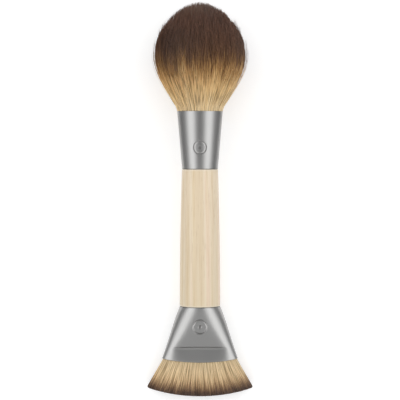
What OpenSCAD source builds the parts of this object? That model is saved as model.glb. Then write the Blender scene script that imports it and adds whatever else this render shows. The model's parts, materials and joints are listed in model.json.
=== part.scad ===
// Double ended makeup brush. A bamboo handle carries a round powder head in a tapered
// aluminium ferrule at one end, and a flat contour head in a ferrule that turns from
// round to flat at the other.
// The brush is drawn upright along Z, from the contour tips at the bottom to the powder
// tip at the top, with the fan spread along X. It is then laid down as it comes to rest,
// on the belly of the powder head and on the lower edge of the contour tips.

/* [Handle] */
// Length of bamboo that shows between the two ferrules
handle_len = 57.3; // [45:0.1:75]
// Diameter of the bamboo next to the powder ferrule
handle_powder_d = 15.2; // [14:0.1:16.5]
// Diameter of the bamboo next to the contour ferrule
handle_contour_d = 17; // [16:0.1:18]
// How far the side of the handle swells past a straight taper
handle_bow = 0.18; // [0:0.02:0.4]
// Chamfer on the shoulders of the handle and on the ends of its tenons
edge_chamfer = 0.3; // [0.1:0.05:0.4]
// Length of the tenon inside the powder ferrule
powder_tenon_len = 11; // [8:0.5:12]
// Length of the tapered tenon inside the contour ferrule
contour_tenon_len = 8; // [6:0.5:9]

/* [Powder ferrule] */
// Length of the powder ferrule
powder_ferrule_len = 24.3; // [23:0.1:30]
// Outside diameter of the powder ferrule at its mouth
powder_mouth_d = 19.1; // [17.5:0.1:21]

/* [Contour ferrule] */
// Length of the contour ferrule along its sides
contour_ferrule_len = 22.1; // [21:0.1:26]
// Outside width of the flat mouth
contour_mouth_w = 31.8; // [28:0.1:36]
// Outside thickness of the flat band at the mouth
contour_mouth_t = 7.9; // [7.2:0.1:8.4]
// How far the middle of the mouth's edge bows out past its sides
mouth_bow = 1.4; // [0:0.1:2.5]
// Length of the flat band, from the crimp line to the mouth at its sides
band_len = 5; // [4:0.1:6]
// Depth of the step at the crimp line
crimp_step = 0.25; // [0.15:0.05:0.4]
// Length of the flat that the press leaves above the crimp line
press_len = 10.7; // [8:0.1:12]

/* [Ferrule metal] */
// Thickness of the ferrules' metal
ferrule_wall = 0.4; // [0.3:0.05:0.6]
// How far the handle's shoulder stands out past the ferrules' rims
shoulder_step = 0.1; // [0:0.02:0.2]

/* [Powder head] */
// Length of the powder head outside its ferrule
powder_head_len = 45.7; // [40:0.1:52]
// Largest diameter of the powder head
powder_head_d = 39.1; // [36:0.1:43]
// Distance from the tip to the widest place
powder_belly = 22.5; // [18:0.1:26]
// Roundness of the dome, where 2 is an ellipse and less is more pointed
dome_roundness = 1.8; // [1.6:0.05:2.2]
// Tufts round the powder head
powder_tufts = 44; // [36:4:48]

/* [Contour head] */
// Length of the contour head outside its ferrule, at the middle
contour_head_len = 14.2; // [12:0.1:18]
// Width of the fan at its trimmed corners
contour_tip_w = 44.1; // [40:0.1:48]
// Thickness of the fan at its tips
contour_tip_t = 10.5; // [10:0.1:11.5]
// Radius of the arc that the tips are trimmed to
trim_radius = 67.6; // [55:0.1:90]
// Tufts round the contour head
contour_tufts = 44; // [36:4:48]

/* [Fibres] */
// Depth of the grooves between tufts
tuft_depth = 0.5; // [0.2:0.05:0.7]
// How much single tufts stand back from the longest ones
tuft_vary = 0.3; // [0:0.05:0.4]

/* [Resin and glue] */
// Thickness of the resin between the fibres' roots and the tenon in the powder ferrule
powder_resin_len = 3.3; // [2.5:0.1:5]
// Thickness of the resin between the fibres' roots and the tenon in the contour ferrule
contour_resin_len = 4.1; // [3:0.1:5]
// Thickness of the glue joint round each tenon
glue_gap = 0.4; // [0.3:0.05:0.5]
// Clearance between an inner piece and the wall round it
fit_gap = 0.05; // [0.04:0.01:0.08]

/* [Hidden] */
$fn = 96;

bamboo_colour = "#e2d3ba";
metal_colour = "#a4a4a4";
powder_colour = "#6b4c38";
contour_colour = "#c9ac84";
resin_colour = "#d9c79a";
glue_colour = "#efe9dc";

// Depths of the fibres' roots, which take what tenon and resin leave of each ferrule
powder_root_depth = powder_ferrule_len - powder_tenon_len - powder_resin_len;
contour_root_depth = contour_ferrule_len - contour_tenon_len - contour_resin_len;

// Heights on the upright brush
contour_mouth_z = contour_head_len + mouth_bow;
contour_rim_z = contour_mouth_z + contour_ferrule_len;
powder_rim_z = contour_rim_z + handle_len;
powder_mouth_z = powder_rim_z + powder_ferrule_len;
powder_tip_z = powder_mouth_z + powder_head_len;
contour_tenon_z = contour_rim_z - contour_tenon_len;
contour_root_z = contour_mouth_z + contour_root_depth;
powder_tenon_z = powder_rim_z + powder_tenon_len;
powder_root_z = powder_mouth_z - powder_root_depth;
belly_z = powder_tip_z - powder_belly;

// Radii at the joints between handle and ferrules
handle_powder_r = handle_powder_d / 2;
handle_contour_r = handle_contour_d / 2;
powder_rim_r = handle_powder_r - shoulder_step;
contour_rim_r = handle_contour_r - shoulder_step;
powder_mouth_r = powder_mouth_d / 2;
powder_cone = (powder_mouth_r - powder_rim_r) / powder_ferrule_len;
powder_tenon_r = powder_rim_r - ferrule_wall - glue_gap;

// Steps along the handle's swelling side
bow_steps = 12;

// Shape of the contour ferrule. A share t runs from 0 at the rim to 1 at the mouth.
neck_flare = 2.4;
oval_over_band = 1.1;
corner_fullness = 0.6;
press_softness = 0.65;
crimp_len = 0.25;
oval_mouth_half_t = contour_mouth_t / 2 * oval_over_band;
band_half_t = contour_mouth_t / 2;
crimp_t = 1 - band_len / contour_ferrule_len;
step_t = crimp_t + crimp_len / contour_ferrule_len;
press_t = crimp_t - press_len / contour_ferrule_len;
press_slope = (oval_half_t(press_t) - band_half_t - crimp_step) / press_len;
ferrule_cols = 80;
neck_rows = 5;
press_rows = 6;
band_rows = 3;

// Rows of the contour ferrule, as shares of its length
neck_shares = [for (i = [0 : neck_rows - 1]) press_t * i / neck_rows];
press_shares = [for (i = [0 : press_rows]) press_t + (crimp_t - press_t) * i / press_rows];
band_shares = [for (i = [0 : band_rows]) step_t + (1 - step_t) * i / band_rows];
ferrule_shares = concat(neck_shares, press_shares, band_shares);

// The contour tenon tapers with the flattening ferrule, from its root to its far end
contour_tenon_root_r = oval_half_t(0) - ferrule_wall - glue_gap;
contour_tenon_end_r = wall_y(0, share_at(contour_tenon_z), ferrule_wall + glue_gap);

// Shape of the powder head
waist_pull = 0.7;
waist_rows = 9;
dome_rows = 10;
powder_cols = 2 * powder_tufts;
powder_root_r = powder_mouth_r - ferrule_wall - fit_gap;

// How the tufts vary: waves in a quarter turn, and a ripple from row to row
uneven_waves = 5;
row_ripple = 0.25;
ripple_turn = 97;

// Shape of the contour head
contour_cols = 2 * contour_tufts;
contour_inset = ferrule_wall + 2 * fit_gap;
fan_rows = 6;
tip_rows = 4;
tip_round = 1.6;
tip_squareness = 3.2;
last_tip_angle = 68;
corner_round = 0.03;
trim_vary = 0.5;
ridge_trim = 0.5;
column_evenness = 0.5;
least_row_gap = 0.01;

// A share of the way from a to b
function mix(a, b, share) = a + (b - a) * share;

// The smaller of two values, with the corner between them rounded over k
function soft_min(a, b, k) = min(a, b) - pow(max(k - abs(a - b), 0), 2) / (4 * k);

// Outside radius of the powder ferrule at height z
function powder_ferrule_r(z) = powder_rim_r + powder_cone * (z - powder_rim_z);

// Radius of the handle at a share of its length up from the contour ferrule
function handle_r(share) =
    mix(handle_contour_r, handle_powder_r, share) + 4 * handle_bow * share * (1 - share);

// Half width and half thickness of the contour ferrule's oval, before it is pressed flat
function oval_half_w(t) =
    mix(contour_rim_r, contour_mouth_w / 2, t) + neck_flare * t * pow(1 - t, 3);
function oval_half_t(t) = mix(contour_rim_r, oval_mouth_half_t, t);

// Half thickness that the press leaves at t
function press_half_t(t) =
    t > crimp_t
        ? band_half_t
        : band_half_t + crimp_step + (crimp_t - t) * contour_ferrule_len * press_slope;

// Half thickness of the ferrule at t and at a share u of its half width, inset by a wall
function wall_y(u, t, inset) =
    let (n = 2 + corner_fullness * t)
    soft_min(
        (oval_half_t(t) - inset) * pow(max(1 - pow(abs(u), n), 0), 1 / n),
        press_half_t(t) - inset,
        press_softness
    );

// Height at t and u, where the mouth's edge bows out in the middle
function wall_z(u, t) =
    contour_rim_z - t * contour_ferrule_len
    - mouth_bow * (1 - u * u) * max(0, t - step_t) / (1 - step_t);

// One section of the contour ferrule
function section(t, inset, cols) = [
    for (c = [0 : cols - 1])
        let (turn = 360 * c / cols, u = cos(turn))
        [
            u * (oval_half_w(t) - inset),
            sign(sin(turn)) * wall_y(u, t, inset),
            wall_z(u, t)
        ]
];

// The share of the contour ferrule's length that lies at height z
function share_at(z) = (contour_rim_z - z) / contour_ferrule_len;

// Two triangles for each cell between neighbouring rows, where a closed net joins its
// last row to its first
function net_faces(rows, cols, closed) = [
    for (r = [0 : rows - (closed ? 1 : 2)])
        for (c = [0 : cols - 1])
            let (
                a = r * cols + c,
                b = r * cols + (c + 1) % cols,
                d = ((r + 1) % rows) * cols + c,
                e = ((r + 1) % rows) * cols + (c + 1) % cols
            )
            each [[a, b, e], [a, e, d]]
];

// Caps for the first and the last row of an open net
function first_cap(cols) = [[for (c = [0 : cols - 1]) cols - 1 - c]];
function last_cap(rows, cols) = [[for (c = [0 : cols - 1]) (rows - 1) * cols + c]];

// A cap that joins the front of the last row to its back, as trimmed fibres do
function strip_cap(rows, cols) =
    let (start = (rows - 1) * cols, half = cols / 2)
    [
        for (c = [0 : half - 1])
            let (
                a = start + c,
                b = start + c + 1,
                d = start + (cols - c) % cols,
                e = start + cols - c - 1
            )
            each (c == 0 ? [[a, b, e]] : (c == half - 1 ? [[a, b, d]] : [[a, b, e], [a, e, d]]))
    ];

// How far a tuft stands back, from 0 on the four longest to 1
function uneven(col, row, cols) =
    pow(sin(180 * uneven_waves * col / (cols / 4)), 2)
    * (1 - row_ripple + row_ripple * sin(ripple_turn * row));

// Outline of the powder head's longest tufts, as height, radius and share of tuft depth
powder_outline = concat(
    [[powder_root_z, powder_ferrule_r(powder_root_z) - ferrule_wall - fit_gap, 0]],
    [
        for (i = [0 : waist_rows])
            let (t = 1 - i / waist_rows)
            [
                mix(belly_z, powder_mouth_z, t),
                powder_root_r
                    + (powder_head_d / 2 - powder_root_r) * (1 - t) * (1 + t - waist_pull * t * t),
                1 - t
            ]
    ],
    [
        for (i = [1 : dome_rows - 1])
            let (turn = 90 * i / dome_rows)
            [
                belly_z + powder_belly * pow(sin(turn), 2 / dome_roundness),
                powder_head_d / 2 * pow(cos(turn), 2 / dome_roundness),
                pow(cos(turn), 2 / dome_roundness)
            ]
    ]
);

// Position round the contour head, part of the way between even steps and even angles
function fan_u(turn) = mix(1 - 2 * min(turn, 360 - turn) / 180, cos(turn), column_evenness);

// Height of the trimmed arc at a distance x from the middle
function trim_z(x) = trim_radius - sqrt(trim_radius * trim_radius - x * x);

// One row of the fan: a share v of the way to the tips, and an angle over their rounding
function fan_row(v, tip_turn, row) = [
    for (c = [0 : contour_cols - 1])
        let (
            turn = 360 * c / contour_cols,
            u = fan_u(turn),
            side = mix(oval_half_w(1) - contour_inset, contour_tip_w / 2, v),
            x = u * side * (1 - corner_round * (1 - cos(tip_turn))),
            full = contour_tip_t / 2 * pow(max(1 - pow(abs(u), tip_squareness), 0), 1 / tip_squareness),
            groove = c % 2 == 1 ? tuft_depth : tuft_vary * uneven(c, row, contour_cols),
            y = max(mix(wall_y(u, 1, contour_inset), full, v) - groove * v * (1 - u * u), 0),
            shorter = trim_vary * uneven(c, 0, contour_cols) * (c % 2 == 1 ? 1 : ridge_trim),
            end_z = trim_z(u * contour_tip_w / 2) + shorter * (1 - u * u),
            start_z = wall_z(u, 1),
            z = mix(start_z, end_z + tip_round, v) - tip_round * sin(tip_turn)
        )
        [x, sign(sin(turn)) * y * cos(tip_turn), z]
];

// One row of the fibres' root inside the contour ferrule
function root_row(t) = [
    for (c = [0 : contour_cols - 1])
        let (turn = 360 * c / contour_cols, u = fan_u(turn))
        [
            u * (oval_half_w(t) - contour_inset),
            sign(sin(turn)) * wall_y(u, t, contour_inset),
            wall_z(u, t)
        ]
];

root_t = share_at(contour_root_z);
root_shares = concat([root_t], [for (t = ferrule_shares) if (t > root_t + least_row_gap) t]);
contour_head_rows = concat(
    [for (t = root_shares) root_row(t)],
    [for (i = [1 : fan_rows]) fan_row(i / fan_rows, 0, i)],
    [for (i = [1 : tip_rows]) fan_row(1, last_tip_angle * i / tip_rows, fan_rows)]
);

// The brush lies on two points under its middle: one on the tips, one on the belly
under_col = contour_cols / 4;
over_col = 3 * under_col;
under_tips = [for (row = contour_head_rows) [row[under_col].z, row[under_col].y]];
under_ferrule = [for (t = ferrule_shares) [wall_z(0, t), wall_y(0, t, 0)]];
under_handle = [
    for (i = [0 : bow_steps]) [mix(contour_rim_z, powder_rim_z, i / bow_steps), handle_r(i / bow_steps)]
];
under_head = [for (p = powder_outline) [p[0], p[1]]];
carried = concat(
    [for (p = under_ferrule) if (share_at(p[0]) < crimp_t) p],
    under_handle,
    [[powder_mouth_z, powder_mouth_r]],
    under_head
);
tips_from = len(root_shares) + 1;
rest_slope = min([
    for (i = [tips_from : len(under_tips) - 1])
        let (p = under_tips[i])
        max([for (q = carried) (q[1] - p[1]) / (q[0] - p[0])])
]);
rest_tilt = atan(rest_slope);
rest_lift = max([for (p = under_tips) p[1] * cos(rest_tilt) - p[0] * sin(rest_tilt)]);
rest_front = max(
    powder_tip_z * cos(rest_tilt),
    max([for (p = under_head) p[0] * cos(rest_tilt) + p[1] * sin(rest_tilt)])
);
rest_back = min([
    for (row = contour_head_rows)
        row[over_col].z * cos(rest_tilt) + row[over_col].y * sin(rest_tilt)
]);

// Lays the upright brush down on the ground, centred over the origin, the powder head
// towards +Y
module lay_down() {
    translate([0, -(rest_front + rest_back) / 2, rest_lift])
        rotate([rest_tilt - 90, 0, 0])
            children();
}

// Turned bamboo handle with a tenon at each end
module handle() {
    side = [
        for (i = [0 : bow_steps])
            let (share = i / bow_steps, inward = i == 0 || i == bow_steps ? 1 : 0)
            [
                handle_r(share),
                mix(contour_rim_z, powder_rim_z, share)
                    + edge_chamfer * inward * (i == 0 ? 1 : -1)
            ]
    ];
    color(bamboo_colour)
        lay_down()
            rotate_extrude()
                polygon(concat(
                    [
                        [0, contour_tenon_z],
                        [contour_tenon_end_r - edge_chamfer, contour_tenon_z],
                        [contour_tenon_end_r, contour_tenon_z + edge_chamfer],
                        [contour_tenon_root_r, contour_rim_z],
                        [handle_contour_r - edge_chamfer, contour_rim_z]
                    ],
                    side,
                    [
                        [handle_powder_r - edge_chamfer, powder_rim_z],
                        [powder_tenon_r, powder_rim_z],
                        [powder_tenon_r, powder_tenon_z - edge_chamfer],
                        [powder_tenon_r - edge_chamfer, powder_tenon_z],
                        [0, powder_tenon_z]
                    ]
                ));
}

// Spun aluminium ferrule of the powder head, a plain cone
module powder_ferrule() {
    color(metal_colour)
        lay_down()
            rotate_extrude()
                polygon([
                    [powder_rim_r - ferrule_wall, powder_rim_z],
                    [powder_rim_r, powder_rim_z],
                    [powder_mouth_r, powder_mouth_z],
                    [powder_mouth_r - ferrule_wall, powder_mouth_z]
                ]);
}

// Powder head: one bundle of fibres with tapered tips, drawn as tufts
module powder_bristles() {
    rows = [
        for (r = [0 : len(powder_outline) - 1])
            let (p = powder_outline[r])
            [
                for (c = [0 : powder_cols - 1])
                    let (
                        turn = 360 * c / powder_cols,
                        groove = c % 2 == 1 ? tuft_depth : tuft_vary * uneven(c, r, powder_cols),
                        radius = p[1] - groove * p[2]
                    )
                    [radius * cos(turn), radius * sin(turn), p[0]]
            ]
    ];
    count = len(rows);
    tip = [[0, 0, powder_tip_z]];
    last = (count - 1) * powder_cols;
    tip_faces = [
        for (c = [0 : powder_cols - 1]) [last + c, last + (c + 1) % powder_cols, count * powder_cols]
    ];
    color(powder_colour)
        lay_down()
            polyhedron(
                points = concat([for (row = rows) each row], tip),
                faces = wound_outward(concat(
                    net_faces(count, powder_cols, false),
                    first_cap(powder_cols),
                    tip_faces
                ))
            );
}

// Faces listed the way OpenSCAD wants them, clockwise from outside
function wound_outward(faces) = [for (f = faces) [for (i = [len(f) - 1 : -1 : 0]) f[i]]];

// Cured resin that holds the roots of the powder head, seated on the tenon
module powder_root_plug() {
    inset = ferrule_wall + fit_gap;
    color(resin_colour)
        lay_down()
            rotate_extrude()
                polygon([
                    [0, powder_tenon_z],
                    [powder_ferrule_r(powder_tenon_z) - inset, powder_tenon_z],
                    [powder_ferrule_r(powder_root_z) - inset, powder_root_z],
                    [0, powder_root_z]
                ]);
}

// Glue between the powder tenon and its ferrule
module powder_tenon_glue() {
    inset = ferrule_wall + fit_gap;
    color(glue_colour)
        lay_down()
            rotate_extrude()
                polygon([
                    [powder_tenon_r + fit_gap, powder_rim_z],
                    [powder_rim_r - inset, powder_rim_z],
                    [powder_ferrule_r(powder_tenon_z) - inset, powder_tenon_z],
                    [powder_tenon_r + fit_gap, powder_tenon_z]
                ]);
}

// Ferrule of the contour head: a round neck that widens and flattens, a pressed flat on
// each face, a crimp line, and a flat band with a bowed edge
module contour_ferrule() {
    outside = [for (t = ferrule_shares) section(t, 0, ferrule_cols)];
    inside = [
        for (i = [len(ferrule_shares) - 1 : -1 : 0])
            section(ferrule_shares[i], ferrule_wall, ferrule_cols)
    ];
    rows = concat(outside, inside);
    color(metal_colour)
        lay_down()
            polyhedron(
                points = [for (row = rows) each row],
                faces = net_faces(len(rows), ferrule_cols, true)
            );
}

// Contour head: a dense flat fan of fibres, trimmed to an arc, drawn as tufts
module contour_bristles() {
    count = len(contour_head_rows);
    color(contour_colour)
        lay_down()
            polyhedron(
                points = [for (row = contour_head_rows) each row],
                faces = concat(
                    net_faces(count, contour_cols, false),
                    first_cap(contour_cols),
                    strip_cap(count, contour_cols)
                )
            );
}

// A solid that fills the contour ferrule between two heights above the crimp line
module neck_filling(low_z, high_z) {
    inset = ferrule_wall + fit_gap;
    low_t = share_at(low_z);
    high_t = share_at(high_z);
    between = [
        for (t = ferrule_shares) if (t > high_t + least_row_gap && t < low_t - least_row_gap) t
    ];
    rows = [for (t = concat([high_t], between, [low_t])) section(t, inset, ferrule_cols)];
    polyhedron(
        points = [for (row = rows) each row],
        faces = concat(
            net_faces(len(rows), ferrule_cols, false),
            first_cap(ferrule_cols),
            last_cap(len(rows), ferrule_cols)
        )
    );
}

// Cured resin that holds the roots of the contour head, seated on the tenon
module contour_root_plug() {
    color(resin_colour)
        lay_down()
            neck_filling(contour_root_z, contour_tenon_z);
}

// Glue between the contour tenon and its ferrule
module contour_tenon_glue() {
    color(glue_colour)
        lay_down()
            difference() {
                neck_filling(contour_tenon_z, contour_rim_z);
                translate([0, 0, contour_tenon_z])
                    cylinder(
                        h = contour_tenon_len,
                        r1 = contour_tenon_end_r + fit_gap,
                        r2 = contour_tenon_root_r + fit_gap
                    );
            }
}

handle();
powder_ferrule();
powder_bristles();
powder_root_plug();
powder_tenon_glue();
contour_ferrule();
contour_bristles();
contour_root_plug();
contour_tenon_glue();
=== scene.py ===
# %% [markdown]
# A double ended makeup brush
#
# The measured model of the brush comes in as plain solids: a bamboo handle, a ferrule at
# each end, and one closed solid for each bundle of fibres. This lesson dresses it for the
# camera. The metal and the bamboo get new skins of the same size with softened edges and
# real finishes, and each head grows its thousands of fibres with Geometry Nodes.
#
# The model is loaded first, because every size below is read from it.

# %% Load the measured model
import json
import math

import bpy
import numpy as np
from mathutils import Matrix, Vector


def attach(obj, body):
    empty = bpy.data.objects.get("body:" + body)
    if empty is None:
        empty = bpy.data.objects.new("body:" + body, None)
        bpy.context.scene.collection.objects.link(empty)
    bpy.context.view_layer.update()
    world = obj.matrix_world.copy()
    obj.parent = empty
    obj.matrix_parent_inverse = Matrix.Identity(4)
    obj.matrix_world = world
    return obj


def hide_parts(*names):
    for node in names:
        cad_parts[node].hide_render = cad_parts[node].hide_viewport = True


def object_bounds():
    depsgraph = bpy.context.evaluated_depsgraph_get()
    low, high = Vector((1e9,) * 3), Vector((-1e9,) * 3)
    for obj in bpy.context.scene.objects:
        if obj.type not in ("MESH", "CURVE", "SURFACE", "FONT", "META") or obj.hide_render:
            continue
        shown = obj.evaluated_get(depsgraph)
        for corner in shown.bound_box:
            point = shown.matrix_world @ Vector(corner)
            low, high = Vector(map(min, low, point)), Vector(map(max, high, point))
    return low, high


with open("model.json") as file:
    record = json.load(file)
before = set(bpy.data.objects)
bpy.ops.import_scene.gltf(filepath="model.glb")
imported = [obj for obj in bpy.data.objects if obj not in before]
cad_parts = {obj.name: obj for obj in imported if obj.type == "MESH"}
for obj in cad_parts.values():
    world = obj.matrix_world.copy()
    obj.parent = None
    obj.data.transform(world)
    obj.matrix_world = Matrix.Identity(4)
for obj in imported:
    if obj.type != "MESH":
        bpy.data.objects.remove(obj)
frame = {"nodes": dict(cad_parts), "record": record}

MM = 0.001
cad_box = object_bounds()
scene = bpy.context.scene
print("nodes in the model:", ", ".join(sorted(frame["nodes"])))

# %% [markdown]
# The brush lies on the belly of its powder head and on the edge of its flat head, so its
# own axis is tilted. Work is easier on a brush that stands upright, so one matrix turns
# an upright brush into the lying one. The grip mount in the record gives the axis and a
# point on it, the middle of the handle. In the upright frame Z runs along the brush
# towards the powder head, X runs across the fan, and -Y faces the camera.

# %% Upright frame of the brush
grip = next(m for m in frame["record"]["mounts"] if m["name"] == "handle_grip")
along = Vector(grip["axis"]).normalized()
across = Vector((1.0, 0.0, 0.0))
facing = across.cross(along)
turn_down = Matrix((across, -facing, along)).transposed()
lay_down = Matrix.Translation(grip["pos_m"]) @ turn_down.to_4x4()
stand_up = lay_down.inverted()
print("tilt of the brush:", round(math.degrees(math.asin(along.z)), 2), "degrees")


def upright(node):
    """The corners of a node of the model, in the upright frame, as an array in metres."""
    mesh = frame["nodes"][node].data
    flat = np.empty(len(mesh.vertices) * 3, np.float32)
    mesh.vertices.foreach_get("co", flat)
    corners = flat.reshape(-1, 3).astype(float)
    return corners @ np.array(stand_up.to_3x3()).T + np.array(stand_up.translation)


# %% [markdown]
# Every length of the real pieces is taken from the solids: where each ferrule starts and
# ends, how wide it is there, how thick its metal is, and how far the fibres reach. A
# corner counts as lying at an end if it is closer to it than a small margin.

# %% Sizes read from the solids
CLOSE = 0.1 * MM
TOUCHING = 0.01 * MM
FAN_TIP_BAND = 3 * MM
FAN_CORNER_SHARE = 0.97

cone = upright("powder_ferrule")
cone_rim_z = cone[:, 2].min()
cone_mouth_z = cone[:, 2].max()
cone_radius = np.hypot(cone[:, 0], cone[:, 1])
at_rim = cone[:, 2] < cone_rim_z + CLOSE
at_mouth = cone[:, 2] > cone_mouth_z - CLOSE
cone_rim_r = cone_radius[at_rim].max()
cone_mouth_r = cone_radius[at_mouth].max()
wall = cone_mouth_r - cone_radius[at_mouth].min()

flat = upright("contour_ferrule")
neck_z = flat[:, 2].max()
neck_r = np.abs(flat[flat[:, 2] > neck_z - CLOSE][:, 0]).max()
flat_half_w = np.abs(flat[:, 0]).max()
flat_side_z = flat[np.abs(flat[:, 0]) > flat_half_w - TOUCHING][:, 2].min()
flat_low_z = flat[:, 2].min()
flat_len = neck_z - flat_side_z
mouth_bow = flat_side_z - flat_low_z
flat_half_t = np.abs(flat[flat[:, 2] < flat_side_z][:, 1]).max()

head = upright("powder_bristles")
head_radius = np.hypot(head[:, 0], head[:, 1])
tip_z = head[:, 2].max()
belly_r = head_radius.max()
belly_z = head[head_radius.argmax(), 2]

fan = upright("contour_bristles")
fan_tip_z = fan[:, 2].min()
fan_half_w = np.abs(fan[:, 0]).max()
fan_half_t = np.abs(fan[fan[:, 2] < fan_tip_z + FAN_TIP_BAND][:, 1]).max()
fan_corner_z = fan[np.abs(fan[:, 0]) > FAN_CORNER_SHARE * fan_half_w][:, 2].min()
fan_drop = fan_corner_z - fan_tip_z

wood = upright("handle")
wood_radius = np.hypot(wood[:, 0], wood[:, 1])
print(f"handle {(cone_rim_z - neck_z) / MM:.1f} mm, wall {wall / MM:.2f} mm")
print(f"ferrules {(cone_mouth_z - cone_rim_z) / MM:.1f} and {flat_len / MM:.1f} mm")
print(f"belly {2 * belly_r / MM:.1f} mm, fan {2 * fan_half_w / MM:.1f} by"
      f" {2 * fan_half_t / MM:.1f} mm, tips drop {fan_drop / MM:.1f} mm")

# %% [markdown]
# Node trees are long to write out by hand. A small class wraps a socket so that Python
# sums build the Math nodes, both in materials and in Geometry Nodes. A second class wraps
# the tree. One method of it adds any node, its settings first and then the values or
# links of its sockets, and a few short ones add the nodes that come back most often.


# %% Sums on sockets
class Wire:
    """An output socket that can be used in a Python sum."""

    def __init__(self, graph, socket):
        self.graph = graph
        self.socket = socket

    def also(self, name):
        """Another output of the same node."""
        return Wire(self.graph, self.socket.node.outputs[name])

    def math(self, operation, *values):
        sockets = dict(enumerate([self, *values]))
        return self.graph.add("ShaderNodeMath", {"operation": operation}, sockets)

    def __add__(self, other):
        return self.math("ADD", other)

    __radd__ = __add__

    def __sub__(self, other):
        return self.math("SUBTRACT", other)

    def __rsub__(self, other):
        return self.graph.number(other).math("SUBTRACT", self)

    def __mul__(self, other):
        return self.math("MULTIPLY", other)

    __rmul__ = __mul__

    def __truediv__(self, other):
        return self.math("DIVIDE", other)

    def __rtruediv__(self, other):
        return self.graph.number(other).math("DIVIDE", self)

    def __pow__(self, other):
        return self.math("POWER", other)

    def __neg__(self):
        return self.math("MULTIPLY", -1.0)

    def __abs__(self):
        return self.math("ABSOLUTE")

    def least(self, other):
        return self.math("MINIMUM", other)

    def most(self, other):
        return self.math("MAXIMUM", other)

    def clamped(self):
        return self.most(0.0).least(1.0)


# %% Trees
class Graph:
    """A node tree, with one method that adds any node and short ones for common nodes."""

    def __init__(self, tree):
        self.tree = tree

    def add(self, kind, settings=None, sockets=None, out=0):
        node = self.tree.nodes.new(kind)
        for name, value in (settings or {}).items():
            if name == "stops":
                self.set_stops(node.color_ramp, value)
            else:
                setattr(node, name, value)
        self.feed(node, sockets or {})
        return Wire(self, node.outputs[out]) if len(node.outputs) else node

    def feed(self, node, sockets):
        """Links each wire to its socket, and sets anything else on the socket itself."""
        for name, value in sockets.items():
            if isinstance(value, Wire):
                self.tree.links.new(value.socket, node.inputs[name])
            else:
                node.inputs[name].default_value = value

    def set_stops(self, ramp, stops):
        for _ in range(len(stops) - len(ramp.elements)):
            ramp.elements.new(0.5)
        for element, (place, colour) in zip(ramp.elements, stops):
            element.position = place
            element.color = (*colour, 1.0)

    def number(self, value):
        """A plain number as a wire, for a sum that starts with one."""
        return self.add("ShaderNodeMath", {"operation": "ADD"}, {0: value, 1: 0.0})

    def vector(self, x, y, z=0.0):
        return self.add("ShaderNodeCombineXYZ", {}, {"X": x, "Y": y, "Z": z})

    def vector_math(self, operation, first, second):
        return self.add("ShaderNodeVectorMath", {"operation": operation}, {0: first, 1: second})

    def noise(self, place, scale, detail):
        sockets = {"Vector": place, "Scale": scale, "Detail": detail}
        return self.add("ShaderNodeTexNoise", {}, sockets)

    def blend(self, share, first, second, mode="MIX"):
        """Two colours mixed by a share from 0 to 1, each a wire or three numbers."""
        first, second = (c if isinstance(c, Wire) else (*c, 1.0) for c in (first, second))
        settings = {"data_type": "RGBA", "blend_type": mode}
        return self.add("ShaderNodeMix", settings, {0: share, 6: first, 7: second}, out=2)


def srgb(red, green, blue):
    """A colour as read off a screen, 0 to 255, turned to the linear values shaders use."""
    parts = np.array([red, green, blue]) / 255.0
    low = parts / 12.92
    high = ((parts + 0.055) / 1.055) ** 2.4
    return tuple(float(x) for x in np.where(parts <= 0.04045, low, high))


print("mid grey 128 is", round(srgb(128, 128, 128)[0], 3), "in linear light")

# %% [markdown]
# The picture looks down at the brush through a long lens. The rim of the powder ferrule
# looks straight while the rim of the contour ferrule curves a little, which says that the
# camera is about three quarters of a metre away and leans slightly towards the powder
# head. It aims at the point of the axis that falls in the middle of the frame.

# %% Camera
PICTURE_PIXELS = 400
TOP_PIXEL = 2.2
TIP_PIXEL = 395.7
CAMERA_DISTANCE = 0.74
CAMERA_LEAN = math.radians(1.7)
SENSOR = 36.0
length = tip_z - fan_tip_z
metres_per_pixel = length / (TIP_PIXEL - TOP_PIXEL)
middle_z = tip_z - (PICTURE_PIXELS / 2 - TOP_PIXEL) * metres_per_pixel
aim = lay_down @ Vector((0.0, 0.0, middle_z))
lens = bpy.data.cameras.new("camera")
lens.sensor_width = SENSOR
lens.lens = SENSOR * CAMERA_DISTANCE / (PICTURE_PIXELS * metres_per_pixel)
lens.clip_start = 0.01
lens.clip_end = 20.0
camera = bpy.data.objects.new("camera", lens)
backwards = facing * math.cos(CAMERA_LEAN) + along * math.sin(CAMERA_LEAN)
upwards = along * math.cos(CAMERA_LEAN) - facing * math.sin(CAMERA_LEAN)
camera.matrix_world = Matrix.Translation(aim + backwards * CAMERA_DISTANCE) @ Matrix(
    (across, upwards, backwards)
).transposed().to_4x4()
scene.collection.objects.link(camera)
scene.camera = camera
scene.view_settings.view_transform = "Standard"
print(f"lens {lens.lens:.1f} mm, {1000 * metres_per_pixel:.3f} mm to a pixel")

# %% [markdown]
# Satin metal shows its surroundings, so the light is laid out like a product table: two
# long soft boxes, one on each side of the brush, with dark cards between and below them.
# The two bright stripes on each ferrule are these boxes. A wide front light, which no
# reflection sees, evens out the bamboo and the fibres.

# %% Soft boxes
BOX_ANGLE = math.radians(48)
BOX_DISTANCE = 0.62
BOX_WIDTH = 0.42
BOX_LENGTH = 1.3
BOX_RADIANCE = 0.8


def area_light(name, angle, distance, width, length, radiance):
    """A lamp turned towards the brush, at an angle to the right of its front."""
    lamp = bpy.data.lights.new(name, "AREA")
    lamp.shape = "RECTANGLE"
    lamp.size = width
    lamp.size_y = length
    lamp.energy = math.pi * width * length * radiance
    light = bpy.data.objects.new(name, lamp)
    away = facing * math.cos(angle) + across * math.sin(angle)
    turned = Matrix((along.cross(away), along, away)).transposed().to_4x4()
    light.matrix_world = Matrix.Translation(aim + away * distance) @ turned
    light.visible_camera = False
    scene.collection.objects.link(light)
    return light


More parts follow.
